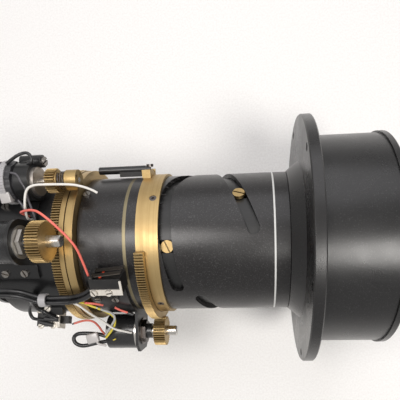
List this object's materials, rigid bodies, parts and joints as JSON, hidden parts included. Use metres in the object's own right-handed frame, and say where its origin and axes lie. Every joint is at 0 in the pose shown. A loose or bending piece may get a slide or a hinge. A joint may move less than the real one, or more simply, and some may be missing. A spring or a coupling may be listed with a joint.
{
  "type": "motorised zoom lens",
  "caption": "Cylindrical lens with a flanged hood, a slotted rotating cam sleeve, toothed rings driven by small motors, position potentiometers, limit switches and wiring.",
  "frame": {"origin": "on the optical axis, in the plane of the mounting flange's rear face", "axes": "+X along the optical axis towards the scene, +Y up in the picture, +Z towards the side shown"},
  "size_m": [0.2365, 0.148, 0.148],
  "materials": {
    "black_anodised": "matt black anodised",
    "brass": "turned brass",
    "lens_glass": "coated infrared lens, nearly opaque to the eye",
    "bright_steel": "bright turned steel",
    "dark_steel": "oiled dark steel",
    "motor_grey": "satin grey",
    "black_plastic": "black moulded plastic",
    "red_plastic": "red moulded plastic",
    "clip_plastic": "grey-white nylon",
    "cable_black": "black cable sheath",
    "lead_plastic": "coloured lead insulation"
  },
  "bodies": {
    "barrel": {"mounting_flange": "black_anodised", "hood": "black_anodised", "lip_ring": "black_anodised", "guide_tube": "black_anodised", "thrust_collar": "black_anodised", "rear_barrel": "black_anodised", "rear_housing": "black_anodised", "rear_mount": "black_anodised", "rear_keeper": "black_anodised", "focus_pot_bracket": "black_anodised", "zoom_pot_bracket": "black_anodised", "focus_motor_bracket": "black_anodised", "zoom_motor_bracket": "black_anodised", "spacer_ring": "brass", "objective": "lens_glass", "rear_lens": "lens_glass", "focus_pot_nut": "bright_steel", "zoom_pot_rim": "bright_steel", "switch_screws": "bright_steel", "end_switch_bracket": "bright_steel", "housing_screws": "bright_steel", "barrel_screws": "bright_steel", "zoom_pot_nut": "dark_steel", "focus_motor_face": "motor_grey", "zoom_motor": "motor_grey", "focus_pot_body": "black_plastic", "zoom_pot_body": "black_plastic", "focus_motor": "black_plastic", "limit_switches": "black_plastic", "end_switch": "black_plastic", "cable_clip": "clip_plastic", "cable_bundle": "cable_black", "switch_leads": "lead_plastic", "pot_leads": "lead_plastic"},
    "zoom_group": {"cam_sleeve": "black_anodised", "zoom_ring": "brass", "zoom_ring_screws": "dark_steel", "striker_boss": "brass", "striker_rod": "black_anodised"},
    "front_group": {"front_cell": "black_anodised", "front_lens": "lens_glass", "front_followers": "brass"},
    "rear_group": {"rear_cell": "black_anodised", "compensator_lens": "lens_glass", "rear_followers": "brass"},
    "zoom_pot_spindle": {"zoom_pot_shaft": "bright_steel", "zoom_pot_pinion": "brass"},
    "zoom_drive": {"zoom_motor_pinion": "brass"},
    "focus_group": {"focus_ring": "brass"},
    "focus_slide": {"focus_cell": "black_anodised", "focus_lens": "lens_glass"},
    "focus_pot_spindle": {"focus_pot_shaft": "bright_steel", "focus_pot_pinion": "brass"},
    "focus_drive": {"focus_motor_shaft": "bright_steel", "clutch_pinion": "brass", "clutch_spring": "dark_steel", "clutch_collar": "brass"},
    "lever_pair": {"switch_levers": "bright_steel"},
    "plunger_pair": {"switch_plungers": "red_plastic"},
    "end_button": {"end_plunger": "black_plastic"}
  },
  "joints": [
    {"name": "zoom_turn", "type": "hinge", "parent": "barrel", "child": "zoom_group", "pos_m": [-0.085, 0, 0], "axis": [1, 0, 0], "range_deg": [-30, 80]},
    {"name": "front_cell_slide", "type": "slide", "parent": "barrel", "child": "front_group", "axis": [1, 0, 0], "range_m": [-0.0211, 0.008]},
    {"name": "rear_cell_slide", "type": "slide", "parent": "barrel", "child": "rear_group", "axis": [1, 0, 0], "range_m": [-0.0034, 0.0088]},
    {"name": "zoom_pot_turn", "type": "hinge", "parent": "barrel", "child": "zoom_pot_spindle", "pos_m": [-0.09, -0.05647, -0.00197], "axis": [1, 0, 0], "range_deg": [-440, 165]},
    {"name": "zoom_motor_turn", "type": "hinge", "parent": "barrel", "child": "zoom_drive", "pos_m": [-0.09, 0, -0.054], "axis": [1, 0, 0], "range_deg": [-612, 230]},
    {"name": "focus_turn", "type": "hinge", "parent": "barrel", "child": "focus_group", "pos_m": [-0.131, 0, 0], "axis": [1, 0, 0], "range_deg": [-150, 150]},
    {"name": "focus_cell_slide", "type": "slide", "parent": "barrel", "child": "focus_slide", "axis": [1, 0, 0], "range_m": [-0.00251, 0.00251]},
    {"name": "focus_pot_turn", "type": "hinge", "parent": "barrel", "child": "focus_pot_spindle", "pos_m": [-0.136, -0.00121, 0.05799], "axis": [1, 0, 0], "range_deg": [-679, 679]},
    {"name": "focus_motor_turn", "type": "hinge", "parent": "barrel", "child": "focus_drive", "pos_m": [-0.136, 0.03353, 0.04201], "axis": [1, 0, 0], "range_deg": [-1141, 1141]},
    {"name": "lever_press", "type": "hinge", "parent": "barrel", "child": "lever_pair", "pos_m": [-0.1132, -0.01812, 0.04694], "axis": [0, 0.4617, -0.887], "range_deg": [0, 6], "stiffness_Nm_per_rad": 0.02},
    {"name": "plunger_press", "type": "slide", "parent": "barrel", "child": "plunger_pair", "axis": [0, -0.887, -0.4617], "range_m": [0, 0.0005]},
    {"name": "end_plunger_press", "type": "slide", "parent": "barrel", "child": "end_button", "axis": [-1, 0, 0], "range_m": [0, 0.0015], "stiffness_N_per_m": 300}
  ],
  "couplings": [
    {"joint": "front_cell_slide", "follows": "zoom_turn", "m_per_rad": -0.015},
    {"joint": "rear_cell_slide", "follows": "zoom_turn", "m_per_rad": 0.0062},
    {"joint": "zoom_pot_turn", "follows": "zoom_turn", "ratio": -5.4571},
    {"joint": "zoom_motor_turn", "follows": "zoom_turn", "ratio": -7.64},
    {"joint": "focus_cell_slide", "follows": "focus_turn", "m_per_rad": 0.00095493},
    {"joint": "focus_pot_turn", "follows": "focus_turn", "ratio": -4.5238},
    {"joint": "focus_motor_turn", "follows": "focus_turn", "ratio": -7.6},
    {"joint": "plunger_press", "follows": "lever_press", "m_per_rad": 0.0044}
  ]
}
